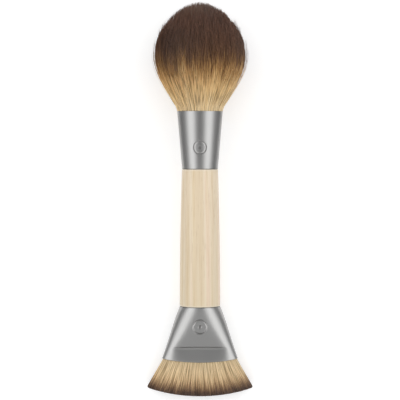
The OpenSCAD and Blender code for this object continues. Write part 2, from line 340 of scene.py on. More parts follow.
soft_boxes = [
    area_light(name, angle, BOX_DISTANCE, BOX_WIDTH, BOX_LENGTH, BOX_RADIANCE)
    for name, angle in (("left_soft_box", -BOX_ANGLE), ("right_soft_box", BOX_ANGLE))
]
print("soft boxes:", len(soft_boxes), "at", round(math.degrees(BOX_ANGLE)), "degrees")

# %% Front light
FRONT_DISTANCE = 1.1
FRONT_WIDTH = 1.2
FRONT_RADIANCE = 0.4
front_light = area_light(
    "front_light", 0.0, FRONT_DISTANCE, FRONT_WIDTH, FRONT_WIDTH, FRONT_RADIANCE
)
front_light.visible_glossy = False
print("front light:", round(front_light.data.energy, 2), "watts")

# %% [markdown]
# The room is white where the camera or a reflection looks at it, but it lights the brush
# less than that, so that the pale bamboo doesn't wash out. The Light Path node tells the
# two apart.

# %% Room
ROOM_LIGHT = 0.65
WHITE = (1, 1, 1, 1)


def looked_at(graph):
    """1 where a camera, a reflection or clear glass sees the surface, otherwise 0."""
    path = graph.add("ShaderNodeLightPath")
    seen = path.also("Is Camera Ray").most(path.also("Is Glossy Ray"))
    return seen.most(path.also("Is Transmission Ray"))


world = bpy.data.worlds.new("room")
scene.world = world
world.use_nodes = True
world.node_tree.nodes.clear()
room = Graph(world.node_tree)
fill = room.add("ShaderNodeBackground", {}, {"Color": WHITE, "Strength": ROOM_LIGHT})
white = room.add("ShaderNodeBackground", {}, {"Color": WHITE, "Strength": 1.0})
both = room.add("ShaderNodeMixShader", {}, {0: looked_at(room), 1: fill, 2: white})
room.add("ShaderNodeOutputWorld", {}, {"Surface": both})
print("light from the room:", ROOM_LIGHT)

# %% [markdown]
# The grey between the two bright stripes is the dark ceiling over the camera, and the
# press flat of the contour ferrule leans towards a paler card beyond it. Cards at the
# ends, at the sides and on the table darken the rest. All of them are seen by
# reflections only, so they take no light away from the brush.


# %% A card
def plain_mesh(name, points, faces):
    mesh = bpy.data.meshes.new(name)
    mesh.from_pydata([tuple(p) for p in points], [], faces)
    mesh.validate()
    thing = bpy.data.objects.new(name, mesh)
    scene.collection.objects.link(thing)
    return thing


def bare_material(name):
    """A new material with an empty tree, and that tree as a graph."""
    material = bpy.data.materials.new(name)
    material.use_nodes = True
    material.node_tree.nodes.clear()
    return material, Graph(material.node_tree)


SQUARE_CORNERS = ((-1, -1), (1, -1), (1, 1), (-1, 1))


def card(name, middle, half_a, half_b, level):
    """A flat card round its middle, given by two half sides, seen in reflections only."""
    corners = [middle + half_a * a + half_b * b for a, b in SQUARE_CORNERS]
    thing = plain_mesh(name, corners, [(0, 1, 2, 3)])
    material, graph = bare_material(name)
    glow = graph.add("ShaderNodeEmission", {}, {"Color": WHITE, "Strength": level})
    graph.add("ShaderNodeOutputMaterial", {}, {"Surface": glow})
    thing.data.materials.append(material)
    thing.visible_camera = False
    thing.visible_diffuse = False
    thing.visible_shadow = False
    thing.visible_transmission = False
    return thing


# %% Dark cards and the pale one
CARD_LENGTH = 1.6
CEILING_HEIGHT = 0.9
CEILING_ANGLE = math.radians(24)
CEILING_LEVEL = 0.14
CEILING_END = 0.42
LIGHT_CARD_END = 1.3
LIGHT_CARD_LEVEL = 0.5
SIDE_DISTANCE = 0.5
SIDE_HEIGHT = 0.16
SIDE_LEVEL = 0.24
END_DISTANCE = 0.8
END_HEIGHT = 0.45
END_LEVEL = 0.1
LOW_CARD_START = 0.031
LOW_CARD_HEIGHT = 0.0005
overhead = aim + facing * CEILING_HEIGHT
ceiling_half = across * CEILING_HEIGHT * math.tan(CEILING_ANGLE)
cards = [
    card(name, overhead + along * (start + end) / 2, ceiling_half, along * (end - start) / 2, level)
    for name, start, end, level in (
        ("ceiling_card", -CEILING_END, CARD_LENGTH, CEILING_LEVEL),
        ("light_card", -LIGHT_CARD_END, -CEILING_END, LIGHT_CARD_LEVEL),
    )
]
upward = Vector((0.0, 0.0, END_HEIGHT / 2))
for word, side in (("low", -1), ("high", 1)):
    place = Vector((0.0, aim.y + side * END_DISTANCE, END_HEIGHT / 2))
    cards.append(card("end_card_" + word, place, across * SIDE_DISTANCE, upward, END_LEVEL))
lengthways = Vector((0.0, CARD_LENGTH, 0.0))
upward = Vector((0.0, 0.0, SIDE_HEIGHT / 2))
for word, side in (("left", -1), ("right", 1)):
    place = Vector((side * SIDE_DISTANCE, aim.y, SIDE_HEIGHT / 2))
    cards.append(card("side_card_" + word, place, lengthways, upward, SIDE_LEVEL))
sideways = across * (SIDE_DISTANCE - LOW_CARD_START) / 2
for word, side in (("left", -1), ("right", 1)):
    place = Vector((side * (LOW_CARD_START + SIDE_DISTANCE) / 2, aim.y, LOW_CARD_HEIGHT))
    cards.append(card("low_card_" + word, place, sideways, lengthways, SIDE_LEVEL))
print("cards:", len(cards))

# %% [markdown]
# The brush lies on white paper. A plain plane is enough for it, because all that matters
# is its material: the paper keeps the soft shadow under the brush, glows a little where
# it is looked at, so that it comes out white, and fades into the white room further out,
# so that no horizon shows from any side.

# %% Paper
PAPER_HALF = 0.7
PAPER_GREY = 0.9
PAPER_LIFT = 0.3
FADE_START = 0.2
FADE_END = 0.6
table_z = cad_box[0].z
middle = (cad_box[0] + cad_box[1]) / 2
paper = plain_mesh(
    "paper",
    [(middle.x + a * PAPER_HALF, middle.y + b * PAPER_HALF, table_z) for a, b in SQUARE_CORNERS],
    [(0, 1, 2, 3)],
)
paper_look, graph = bare_material("paper")
place = graph.add("ShaderNodeTexCoord", out="Object")
apart = graph.add("ShaderNodeVectorMath", {"operation": "LENGTH"}, {0: place}, out="Value")
fade = ((apart - FADE_START) / (FADE_END - FADE_START)).clamped()
lift_level = looked_at(graph) * PAPER_LIFT
sheet = graph.add("ShaderNodeBsdfDiffuse", {}, {"Color": (PAPER_GREY, PAPER_GREY, PAPER_GREY, 1)})
lift = graph.add("ShaderNodeEmission", {}, {"Color": WHITE, "Strength": lift_level})
lit = graph.add("ShaderNodeAddShader", {}, {0: sheet, 1: lift})
clear = graph.add("ShaderNodeBsdfTransparent")
whole = graph.add("ShaderNodeMixShader", {}, {0: fade, 1: lit, 2: clear})
graph.add("ShaderNodeOutputMaterial", {}, {"Surface": whole})
paper.data.materials.append(paper_look)
print("paper at", round(table_z, 4))

# %% [markdown]
# A new skin is a net of points: rows that follow one another along the piece, each going
# once round it. The same helper makes every skin, with a UV map whose U runs round the
# piece and whose V runs along the rows, and lays it down in its place. A Screw modifier
# could turn the round pieces, but rows also serve the pressed one, and they put every
# corner exactly where the measured model has it.


# %% Skins from rows of points
def skin(name, rows, closed=False, first_cap=False, last_cap=False, join_last=False):
    """A mesh object from rows of points given in the upright frame, in metres."""
    rows = np.asarray(rows, float)
    count, cols = rows.shape[:2]
    faces = []
    maps = []
    for r in range(count if closed else count - 1):
        for c in range(cols):
            below = (r + 1) % count
            right = (c + 1) % cols
            faces.append((r * cols + c, r * cols + right, below * cols + right, below * cols + c))
            u = (c / cols, (c + 1) / cols)
            v = (r / count, (r + 1) / count)
            maps += [(u[0], v[0]), (u[1], v[0]), (u[1], v[1]), (u[0], v[1])]
    start = (count - 1) * cols
    if first_cap:
        faces.append(tuple(range(cols - 1, -1, -1)))
        maps += [(c / cols, 0.0) for c in range(cols - 1, -1, -1)]
    if last_cap:
        faces.append(tuple(range(start, start + cols)))
        maps += [(c / cols, 1.0) for c in range(cols)]
    if join_last:
        for c in range(cols // 2):
            ring = (start + c, start + c + 1, start + cols - c - 1, start + (cols - c) % cols)
            ring = tuple(dict.fromkeys(ring))
            faces.append(ring)
            maps += [(0.5, 1.0)] * len(ring)
    thing = plain_mesh(name, rows.reshape(-1, 3), faces)
    layer = thing.data.uv_layers.new(name="around")
    layer.data.foreach_set("uv", np.array(maps, np.float32).ravel())
    thing.data.transform(lay_down)
    thing.data.shade_smooth()
    return thing


def turned_rows(profile, cols):
    """Rows of a turned piece, from its profile as pairs of radius and height."""
    angles = np.linspace(0.0, 2 * math.pi, cols, endpoint=False)
    ring = np.stack([np.cos(angles), np.sin(angles)], axis=1)
    return [np.column_stack([radius * ring, np.full(cols, z)]) for radius, z in profile]


# %% [markdown]
# Each finished piece is tied to the brush in the same way: it rides on the one body, and
# the solid it stands in for is hidden. A closed mesh whose signed volume is negative is
# inside out, so that is put right first.


# %% Tying a piece to the brush
def volume_of(thing):
    """Signed volume of a closed mesh in cubic millimetres: positive if it faces outward."""
    thing.data.calc_loop_triangles()
    corners = np.array([v.co for v in thing.data.vertices])
    picks = np.array([t.vertices for t in thing.data.loop_triangles])
    a, b, c = corners[picks[:, 0]], corners[picks[:, 1]], corners[picks[:, 2]]
    return float((a * np.cross(b, c)).sum() / 6 / MM**3)


def finished(thing, slot, *nodes):
    """Ties a finished piece to the brush: what it rides on and what it replaces. The slot is not
    used.
    """
    if volume_of(thing) < 0:
        thing.data.flip_normals()
    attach(thing, "root")
    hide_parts(*nodes)
    thing.data.calc_loop_triangles()
    print(f"{thing.name}: {len(thing.data.loop_triangles)} triangles, {volume_of(thing):.0f} mm3")
    return thing


# %% [markdown]
# Both ferrules are aluminium with a satin polish. The metal is a plain Principled shader
# at full Metallic. What makes it satin is the roughness, which wanders a little, and a
# grain so fine that it only softens the reflections. A small ring with a dot is pressed
# into the front of each ferrule. It is a bump, because it is only a tenth of a millimetre
# deep, and its groove is also darkened in the colour as painted shade. A narrow band at
# the end by the handle is darkened too, as painted shade at the joint. Noise scales are
# in features to a metre. Depths are in millimetres, because the Bump node multiplies them
# by its distance of one millimetre.

# %% Satin aluminium
METAL_GREY = (0.47, 0.468, 0.462)
METAL_PAINTED_SHADE = (0.2, 0.19, 0.18)
METAL_ROUGHNESS = 0.38
ROUGHNESS_WANDER = 0.05
CLOUD_SCALE = 160.0
GRAIN_SCALE = 9000.0
GRAIN_DEPTH = 0.0015
RIM_BAND = 0.6 * MM
RIM_SHADE = 0.8
RING_LINE = 0.42 * MM
RING_DOT = 0.5 * MM
RING_DEPTH = 0.12
RING_SHADE = 0.5
FRONT_STEEPNESS = 1e4


def principled(name):
    """A new material, its Principled shader, and its tree as a graph."""
    material = bpy.data.materials.new(name)
    material.use_nodes = True
    return material, material.node_tree.nodes["Principled BSDF"], Graph(material.node_tree)


def upright_place(graph):
    """Where a point of the lying brush is in the upright frame, for a material."""
    return graph.add(
        "ShaderNodeMapping",
        {"vector_type": "TEXTURE"},
        {
            "Vector": graph.add("ShaderNodeTexCoord", out="Object"),
            "Location": lay_down.translation,
            "Rotation": Vector(lay_down.to_euler()),
        },
    )


def metal_material(name, rim_z, ring_z, ring_r):
    material, shader, graph = principled(name)
    place = upright_place(graph)
    parts = graph.add("ShaderNodeSeparateXYZ", {}, {"Vector": place})
    x, y, z = parts, parts.also("Y"), parts.also("Z")
    cloudy = graph.noise(place, CLOUD_SCALE, 3.0)
    grain = graph.noise(place, GRAIN_SCALE, 2.0)
    apart = (x * x + (z - ring_z) * (z - ring_z)) ** 0.5
    line = (1.0 - abs(apart - ring_r) / RING_LINE).clamped()
    dot = (1.0 - (apart - RING_DOT) / RING_LINE).clamped()
    front = (y * -FRONT_STEEPNESS).clamped()
    mark = line.most(dot) * front
    edge = (1.0 - abs(z - rim_z) / RIM_BAND).clamped()
    depth = grain * GRAIN_DEPTH - mark * RING_DEPTH
    bump = graph.add("ShaderNodeBump", {}, {"Strength": 1.0, "Distance": MM, "Height": depth})
    # The ring's groove and the band at the rim by the handle are painted shade.
    dark = (mark * RING_SHADE).most(edge * RIM_SHADE)
    graph.feed(shader, {
        "Metallic": 1.0,
        "Base Color": graph.blend(dark, METAL_GREY, METAL_PAINTED_SHADE),
        "Roughness": METAL_ROUGHNESS + ROUGHNESS_WANDER * cloudy,
        "Normal": bump,
    })
    return material


# %% [markdown]
# Each ferrule gets a copy of the metal of its own, because its ring and the rim that get
# painted shade lie at other heights. The picture shows the row of pixels of each ring, and a
# small function turns a row into a height on the front of the brush.

# %% The two metals
CONE_RING_PIXEL = 147.5
FLAT_RING_PIXEL = 328.0
CONE_RING_R = 2.5 * MM
FLAT_RING_R = 2.9 * MM


def height_of(pixel, radius):
    """Height of what the picture shows on the brush's front at a row of pixels."""
    shown = (PICTURE_PIXELS / 2 - pixel) * metres_per_pixel
    return middle_z + shown * (1 - radius / CAMERA_DISTANCE) + radius * math.tan(CAMERA_LEAN)


cone_ring_z = height_of(CONE_RING_PIXEL, cone_mouth_r)
flat_ring_z = height_of(FLAT_RING_PIXEL, neck_r)
cone_metal = metal_material("satin_aluminium_cone", cone_rim_z, cone_ring_z, CONE_RING_R)
flat_metal = metal_material("satin_aluminium_flat", neck_z, flat_ring_z, FLAT_RING_R)
print(f"rings at {cone_ring_z / MM:.1f} and {flat_ring_z / MM:.1f} mm from the middle")

# %% [markdown]
# The powder ferrule is a cone of thin metal, spun or drawn and trimmed at both ends. The
# trimmed edges are slightly rounded: half circles as wide as the wall join its outside
# to its inside.

# %% Powder ferrule
TURNED_COLS = 160
LIP_STEPS = 6
lip_turns = np.linspace(0.0, math.pi, LIP_STEPS + 1)
half_wall = wall / 2


def lip(outer_r, z, outward):
    """Half a circle across the wall at one end, from the outside in, or from the inside
    out where outward is -1."""
    middle_r = outer_r - half_wall
    points = [
        (middle_r + half_wall * math.cos(t), z - outward * half_wall * (1 - math.sin(t)))
        for t in lip_turns
    ]
    return points if outward == 1 else points[::-1]


cone_profile = lip(cone_mouth_r, cone_mouth_z, 1) + lip(cone_rim_r, cone_rim_z, -1)
powder_ferrule = skin("powder_ferrule_skin", turned_rows(cone_profile, TURNED_COLS), closed=True)
powder_ferrule.data.materials.append(cone_metal)
finished(powder_ferrule, "ferrule_metal", "powder_ferrule")

# %% [markdown]
# The contour ferrule is the piece that takes skill. It starts as a round tube at the
# handle. A press flattens its mouth, so the sides spread while the faces close in, and
# leaves a flat on each face that ends at the crimp line. Past that line a narrow band
# holds the fibres.
#
# Its sections follow what the press does: an oval that widens and thins along the
# ferrule, cut by the flat of the press, with the corner between the two kept soft. It
# could be modelled by hand from a squeezed tube, but a rule for its sections gives smooth
# metal and keeps the wall even. In the functions below, t runs from 0 at the neck to 1 at
# the mouth, and u runs from -1 to 1 across the ferrule.

# %% Shape of the contour ferrule
NECK_FLARE = 2.4 * MM
OVAL_OVER_BAND = 1.1
CORNER_FULLNESS = 0.6
PRESS_SOFTNESS = 0.65 * MM
CRIMP_STEP = 0.25 * MM
CRIMP_LEN = 0.25 * MM
BAND_LEN = 5.0 * MM
PRESS_LEN = 10.7 * MM
FLAT_COLS = 160
crimp_t = 1 - BAND_LEN / flat_len
step_t = crimp_t + CRIMP_LEN / flat_len
press_t = crimp_t - PRESS_LEN / flat_len


def mix(a, b, share):
    return a + (b - a) * share


def soft_min(a, b, k):
    return np.minimum(a, b) - np.maximum(k - np.abs(a - b), 0) ** 2 / (4 * k)


def oval_half_w(t):
    return mix(neck_r, flat_half_w, t) + NECK_FLARE * t * (1 - t) ** 3


def oval_half_t(t):
    return mix(neck_r, flat_half_t * OVAL_OVER_BAND, t)


press_slope = (oval_half_t(press_t) - flat_half_t - CRIMP_STEP) / PRESS_LEN


def press_half_t(t):
    before = flat_half_t + CRIMP_STEP + (crimp_t - t) * flat_len * press_slope
    down = np.clip((t - crimp_t) / (step_t - crimp_t), 0, 1)
    return mix(np.maximum(before, flat_half_t + CRIMP_STEP), flat_half_t, down)


def wall_y(u, t, inset):
    power = 2 + CORNER_FULLNESS * t
    oval = (oval_half_t(t) - inset) * np.maximum(1 - np.abs(u) ** power, 0) ** (1 / power)
    return soft_min(oval, press_half_t(t) - inset, PRESS_SOFTNESS)


def wall_z(u, t):
    return neck_z - t * flat_len - mouth_bow * (1 - u * u) * max(0, t - step_t) / (1 - step_t)


def around(cols):
    """Points once round a flat section: u, and the side of it that they lie on."""
    turns = np.linspace(0, 2 * math.pi, cols, endpoint=False)
    return np.cos(turns), np.sign(np.round(np.sin(turns), 9))


def flat_row(t, inset, drop=0.0):
    u, side = around(FLAT_COLS)
    x = u * (oval_half_w(t) - inset)
    return np.column_stack([x, side * wall_y(u, t, inset), wall_z(u, t) - drop])


print(f"press flat leans {math.degrees(math.atan(press_slope)):.0f} degrees")

# %% [markdown]
# The rows run down the outside of the wall, round the lip of the mouth, back up the
# inside and round the lip of the neck, so the skin closes on itself. They stand closer
# where the shape changes faster, which is at the crimp line.

# %% Contour ferrule
NECK_ROWS = 12
PRESS_ROWS = 18
STEP_ROWS = 3
BAND_ROWS = 8
shares = np.concatenate([
    np.linspace(0.0, press_t, NECK_ROWS, endpoint=False),
    np.linspace(press_t, crimp_t, PRESS_ROWS, endpoint=False),
    np.linspace(crimp_t, step_t, STEP_ROWS, endpoint=False),
    np.linspace(step_t, 1.0, BAND_ROWS),
])
mouth_lip = [
    (half_wall - half_wall * math.cos(a), half_wall * (math.sin(a) - 1)) for a in lip_turns
]
neck_lip = [
    (half_wall + half_wall * math.cos(a), half_wall * (1 - math.sin(a))) for a in lip_turns
]
rows = [flat_row(t, 0.0) for t in shares[1:-1]]
rows += [flat_row(1.0, inset, drop) for inset, drop in mouth_lip]
rows += [flat_row(t, wall) for t in shares[-2:0:-1]]
rows += [flat_row(0.0, inset, drop) for inset, drop in neck_lip]
contour_ferrule = skin("contour_ferrule_skin", rows, closed=True)
contour_ferrule.data.materials.append(flat_metal)
finished(contour_ferrule, "ferrule_metal", "contour_ferrule")

# %% [markdown]
# The handle is bamboo, turned on a lathe from a stick of glued strips, sanded, and sealed
# with a matt lacquer. Only the barrel shows, but the skin keeps the tenons inside the
# ferrules, because the real handle is one piece. The edges of the shoulders are broken
# with a small chamfer, and the colour of the wood adds a painted highlight along it.

# %% Profile of the wood
levels = np.unique(np.round(wood[:, 2], 6))
widest = np.array([[z, wood_radius[np.abs(wood[:, 2] - z) < MM / 1000].max()] for z in levels])
on_barrel = widest[(widest[:, 0] > neck_z + CLOSE) & (widest[:, 0] < cone_rim_z - CLOSE)]
barrel_fit = np.polyfit(on_barrel[:, 0], on_barrel[:, 1], 2)
shoulder_low = widest[np.abs(widest[:, 0] - neck_z) < TOUCHING][0, 1]
shoulder_high = widest[np.abs(widest[:, 0] - cone_rim_z) < TOUCHING][0, 1]
low_tenon = [(r, z) for z, r in widest[widest[:, 0] < neck_z - TOUCHING]]
high_tenon = [(r, z) for z, r in widest[widest[:, 0] > cone_rim_z + TOUCHING]]
print("levels of the wood:", len(levels), "of which", len(on_barrel), "on the barrel")

# %% Handle
CHAMFER_STEPS = 4
CHAMFER_BULGE = 0.05 * MM
BARREL_STEPS = 14


def rounded(start, end):
    """A few points from start to end that swell out past the straight line between."""
    return [
        (mix(start[0], end[0], s) + CHAMFER_BULGE * 4 * s * (1 - s), mix(start[1], end[1], s))
        for s in np.linspace(0.0, 1.0, CHAMFER_STEPS + 1)
    ]


barrel_zs = np.linspace(on_barrel[0, 0], on_barrel[-1, 0], BARREL_STEPS + 1)
barrel = [(float(np.polyval(barrel_fit, z)), float(z)) for z in barrel_zs]
handle_profile = (
    low_tenon
    + [(low_tenon[-1][0], neck_z)]
    + rounded((shoulder_low, neck_z), barrel[0])
    + barrel[1:-1]
    + rounded(barrel[-1], (shoulder_high, cone_rim_z))
    + [(high_tenon[0][0], cone_rim_z)]
    + high_tenon
)
print(len(handle_profile), "profile points; barrel", round(2000 * barrel[0][0], 2), "to",
      round(2000 * barrel[-1][0], 2), "mm")
handle = skin(
    "handle_skin", turned_rows(handle_profile, TURNED_COLS), first_cap=True, last_cap=True
)

# %% [markdown]
# Bamboo has no growth rings: its face is a bundle of straight fibres. Seen close, the
# strips differ slightly in tone, fine pale and dark streaks run the whole length, and
# here and there a darker vessel shows as a short dash. A picture wrapped round the handle
# would show a seam, so all of these are noises that fill the space of the upright frame,
# stretched along the handle. A pale band at each end of the barrel is a painted highlight
# on the chamfer, and painted shade makes the wood darker towards the fan.
#
# Each noise below is four numbers: its features to a metre across the brush and along
# it, its detail, and a shift that keeps it apart from the others.

# %% Bamboo
STRIPS = (330.0, 3.0, 1.0, 0.0)
WARM_STRIPS = (520.0, 4.0, 1.0, 7.0)
STREAKS = (2600.0, 26.0, 3.0, 3.0)
VESSELS = (5200.0, 150.0, 1.0, 11.0)
STRIP_TONES = [
    (0.30, srgb(222, 202, 170)),
    (0.45, srgb(228, 210, 183)),
    (0.55, srgb(231, 216, 192)),
    (0.70, srgb(233, 209, 188)),
]
WARM_TONE = srgb(220, 199, 158)
WARM_CONTRAST = 3.0
WARM_AMOUNT = 0.5
STREAK_TONE = srgb(214, 190, 150)
STREAK_LEVEL = 0.52
STREAK_CONTRAST = 4.0
STREAK_AMOUNT = 0.35
VESSEL_TONE = srgb(168, 132, 88)
VESSEL_LEVEL = 0.66
VESSEL_CONTRAST = 14.0
VESSEL_AMOUNT = 0.4
VESSEL_DEPTH = 0.6
WOOD_RELIEF = 0.05 * MM
END_BAND = 0.8 * MM
END_HIGHLIGHT_TONE = srgb(250, 240, 222)
END_AMOUNT = 0.7
FAN_END_SHADE = (0.93, 0.93, 0.9)
WOOD_ROUGHNESS = 0.5
WOOD_GLOSS = 0.12


def stretched(graph, place, sideways, lengthways, detail, shift):
    """A noise with its features drawn out along the brush."""
    scaled = graph.vector_math("MULTIPLY", place, (sideways, sideways, lengthways))
    return graph.noise(graph.vector_math("ADD", scaled, (shift, 0, 0)), 1.0, detail)


def bamboo_material():
    material, shader, graph = principled("lacquered_bamboo")
    place = upright_place(graph)
    strips, second, streaks, vessels = (
        stretched(graph, place, *noise) for noise in (STRIPS, WARM_STRIPS, STREAKS, VESSELS)
    )
    warm = ((second - 0.5) * WARM_CONTRAST).clamped() * WARM_AMOUNT
    dark = ((STREAK_LEVEL - streaks) * STREAK_CONTRAST).clamped() * STREAK_AMOUNT
    dashes = ((vessels - VESSEL_LEVEL) * VESSEL_CONTRAST).clamped()
    height = graph.add("ShaderNodeSeparateXYZ", {}, {"Vector": place}).also("Z")
    # A pale band at each end is a painted highlight on the chamfer, and the fan end gets painted
    # shade.
    from_end = abs(height - neck_z).least(abs(height - cone_rim_z))
    end_highlight = (1.0 - from_end / END_BAND).clamped() * END_AMOUNT
    lower = ((cone_rim_z - height) / (cone_rim_z - neck_z)).clamped()
    tone = graph.add("ShaderNodeValToRGB", {"stops": STRIP_TONES}, {"Fac": strips})
    tone = graph.blend(warm, tone, WARM_TONE)
    tone = graph.blend(dark, tone, STREAK_TONE, "MULTIPLY")
    tone = graph.blend(dashes * VESSEL_AMOUNT, tone, VESSEL_TONE)
    tone = graph.blend(end_highlight, tone, END_HIGHLIGHT_TONE)
    tone = graph.blend(lower, tone, FAN_END_SHADE, "MULTIPLY")
    depth = streaks - dashes * VESSEL_DEPTH
    bump = graph.add(
        "ShaderNodeBump", {}, {"Strength": 0.3, "Distance": WOOD_RELIEF, "Height": depth}
    )
    graph.feed(shader, {
        "Base Color": tone,
        "Roughness": WOOD_ROUGHNESS - WOOD_GLOSS * streaks,
        "Normal": bump,
        "Coat Weight": 0.12,
        "Coat Roughness": 0.3,
    })
    return material


handle.data.materials.append(bamboo_material())
finished(handle, "bamboo", "handle")

# %% [markdown]
# The fibres are synthetic filaments, dyed golden at the root and dark brown towards the
# tip. Each one carries two numbers of its own: dye says how far along the dye has gone,
# and tint makes it a little lighter or darker than its neighbours. Both are stored on the
# mesh, so one finish serves thousands of fibres that all differ. A darker fibre is also a
# warmer one, so its green and blue fall faster than its red. On the powder head the colour
# turns paler again near the top of the dome, which is a painted sheen over the dark dye.

# %% Fibres
FIBRE_DARKEST = 0.45
GREEN_POWER = 1.15
BLUE_POWER = 1.4
FIBRE_ROUGHNESS = 0.45
FIBRE_DULLING = 0.1


def fibre_material(name, stops):
    material, shader, graph = principled(name)
    dye = graph.add("ShaderNodeAttribute", {"attribute_name": "dye"}, out="Fac")
    tint = graph.add("ShaderNodeAttribute", {"attribute_name": "tint"}, out="Fac")
    colour = graph.add("ShaderNodeValToRGB", {"stops": stops}, {"Fac": dye})
    bright = FIBRE_DARKEST + (1 - FIBRE_DARKEST) * tint
    level = graph.vector(bright, bright**GREEN_POWER, bright**BLUE_POWER)
    graph.feed(shader, {
        "Base Color": graph.vector_math("MULTIPLY", colour, level),
        "Roughness": FIBRE_ROUGHNESS + FIBRE_DULLING * tint,
        "Specular IOR Level": 0.4,
        "Sheen Weight": 0.12,
    })
    return material


powder_look = fibre_material(
    "powder_fibre",
    [
        (0.00, srgb(252, 228, 184)),
        (0.18, srgb(255, 224, 167)),
        (0.29, srgb(250, 212, 150)),
        (0.39, srgb(200, 152, 92)),
        (0.50, srgb(126, 89, 57)),
        (0.62, srgb(112, 77, 55)),
        (0.85, srgb(122, 85, 67)),
        # The last two stops, paler than the brown before them, are a painted sheen on the top of
        # the dome.
        (0.95, srgb(132, 102, 86)),
        (1.00, srgb(150, 126, 112)),
    ],
)
contour_look = fibre_material(
    "contour_fibre",
    [
        (0.00, srgb(240, 219, 181)),
        (0.56, srgb(247, 220, 176)),
        (0.69, srgb(228, 194, 148)),
        (0.80, srgb(176, 140, 104)),
        (0.90, srgb(128, 98, 77)),
        (0.97, srgb(104, 82, 71)),
    ],
)
print("fibre finishes:", powder_look.name, "and", contour_look.name)

# %% [markdown]
# Both heads grow in the same way. Points stand for the fibres, and each keeps a few
# random numbers. Every point then carries one short line, and once the lines are real
# curves, their points are moved to where the fibre runs and get a three sided section.
# Hair particles could do this too, but Geometry Nodes end in plain meshes, and one tree
# makes several groups of fibres from different sizes. These helpers build the parts that
# the two trees share.


# %% Start and end of a node tree
def start_tree(name, floats, ints):
    """A Geometry Nodes tree with named inputs, and those inputs as wires."""
    tree = bpy.data.node_groups.new(name, "GeometryNodeTree")
    tree.interface.new_socket("Mesh", in_out="OUTPUT", socket_type="NodeSocketGeometry")
    for word in floats:
        tree.interface.new_socket(word, in_out="INPUT", socket_type="NodeSocketFloat")
    for word in ints:
        tree.interface.new_socket(word, in_out="INPUT", socket_type="NodeSocketInt")
    graph = Graph(tree)
    source = tree.nodes.new("NodeGroupInput")
    wires = {word: Wire(graph, source.outputs[word]) for word in (*floats, *ints)}
    return graph, wires


TABLE_CLEARANCE = 0.02 * MM


def rest_on_table(thing):
    """Bends up the few fibres that would reach through the table."""
    places = np.empty(3 * len(thing.data.vertices), np.float32)
    thing.data.vertices.foreach_get("co", places)
    places[2::3] = np.maximum(places[2::3], table_z + TABLE_CLEARANCE)
    thing.data.vertices.foreach_set("co", places)


def grown(name, graph, sizes, base_z):
    """Runs a tree once with these sizes, keeps what it makes as a plain mesh, and puts
    its zero at this height of the brush."""
    start = bpy.data.objects.new(name, bpy.data.meshes.new(name + "_start"))
    scene.collection.objects.link(start)
    modifier = start.modifiers.new("grow", "NODES")
    modifier.node_group = graph.tree
    for item in graph.tree.interface.items_tree:
        if item.in_out == "INPUT":
            modifier[item.identifier] = sizes[item.name]
    ready = start.evaluated_get(bpy.context.evaluated_depsgraph_get())
    mesh = bpy.data.meshes.new_from_object(ready)
    start.modifiers.clear()
    bpy.data.objects.remove(start)
    mesh.name = name
    mesh.transform(lay_down)
    mesh.transform(Matrix.Translation(lay_down.to_3x3() @ Vector((0, 0, base_z))))
    thing = bpy.data.objects.new(name, mesh)
    scene.collection.objects.link(thing)
    rest_on_table(thing)
    return thing


# %% [markdown]
# Inside a tree, a number that belongs to one fibre travels with it as a named attribute:
# it is stored on the point, and read again once the point has become a curve. Curve to
# Mesh sizes its section by the number on its Scale socket, which here tapers each fibre.

# %% Nodes that both trees use
LOCK_CONTRAST = 3.2
TAPER_POWER = 4.0


def chance(graph, seed, salt, low=0.0, high=1.0):
    """A random number for each fibre. The salt keeps the numbers apart."""
    return graph.add(
        "FunctionNodeRandomValue",
        {"data_type": "FLOAT"},
        {2: low, 3: high, "Seed": seed + salt},
        out=1,
    )


def keep(graph, geometry, name, value):
    return graph.add(
        "GeometryNodeStoreNamedAttribute",
        {"data_type": "FLOAT", "domain": "POINT"},
        {"Geometry": geometry, "Name": name, "Value": value},
    )


def kept(graph, name):
    return graph.add("GeometryNodeInputNamedAttribute", {"data_type": "FLOAT"}, {"Name": name})


def locks(graph, place, scale):
    """1 inside a lock of fibres and 0 between two locks."""
    return ((graph.noise(place, scale, 1.0) - 0.5) * LOCK_CONTRAST + 0.5).clamped()


def fibre_curves(graph, wires, places):
    """One line for each fibre, which keeps its places and four random numbers."""
    seed = wires["Seed"]
    numbers = {
        **places,
        "cut": chance(graph, seed, 3),
        "tint": chance(graph, seed, 4),
        "slip": chance(graph, seed, 5, -1.0, 1.0),
        "blot": chance(graph, seed, 6, -1.0, 1.0),
    }
    geometry = graph.add("GeometryNodePoints", {}, {"Count": wires["Count"]})
    for word, value in numbers.items():
        geometry = keep(graph, geometry, word, value)
    line = graph.add("GeometryNodeCurvePrimitiveLine")
    line = graph.add("GeometryNodeResampleCurve", {}, {"Curve": line, "Count": wires["Steps"]})
    placed = graph.add("GeometryNodeInstanceOnPoints", {}, {"Points": geometry, "Instance": line})
    return graph.add("GeometryNodeRealizeInstances", {}, {"Geometry": placed})


def fibre_tubes(graph, curves, place, width, dye, tint, material):
    """Moves the curves into place and gives them a three sided section."""
    moved = graph.add("GeometryNodeSetPosition", {}, {"Geometry": curves, "Position": place})
    coloured = keep(graph, keep(graph, moved, "dye", dye.clamped()), "tint", tint.clamped())
    ring = graph.add("GeometryNodeCurvePrimitiveCircle", {}, {"Resolution": 3, "Radius": 1.0})
    tubes = graph.add(
        "GeometryNodeCurveToMesh",
        {},
        {"Curve": coloured, "Profile Curve": ring, "Scale": width, "Fill Caps": True},
    )
    smooth = graph.add("GeometryNodeSetShadeSmooth", {}, {"Geometry": tubes})
    real = graph.add("GeometryNodeRealizeInstances", {}, {"Geometry": smooth})
    done = graph.add("GeometryNodeSetMaterial", {}, {"Geometry": real, "Material": material})
    graph.add("NodeGroupOutput", {}, {"Mesh": done})


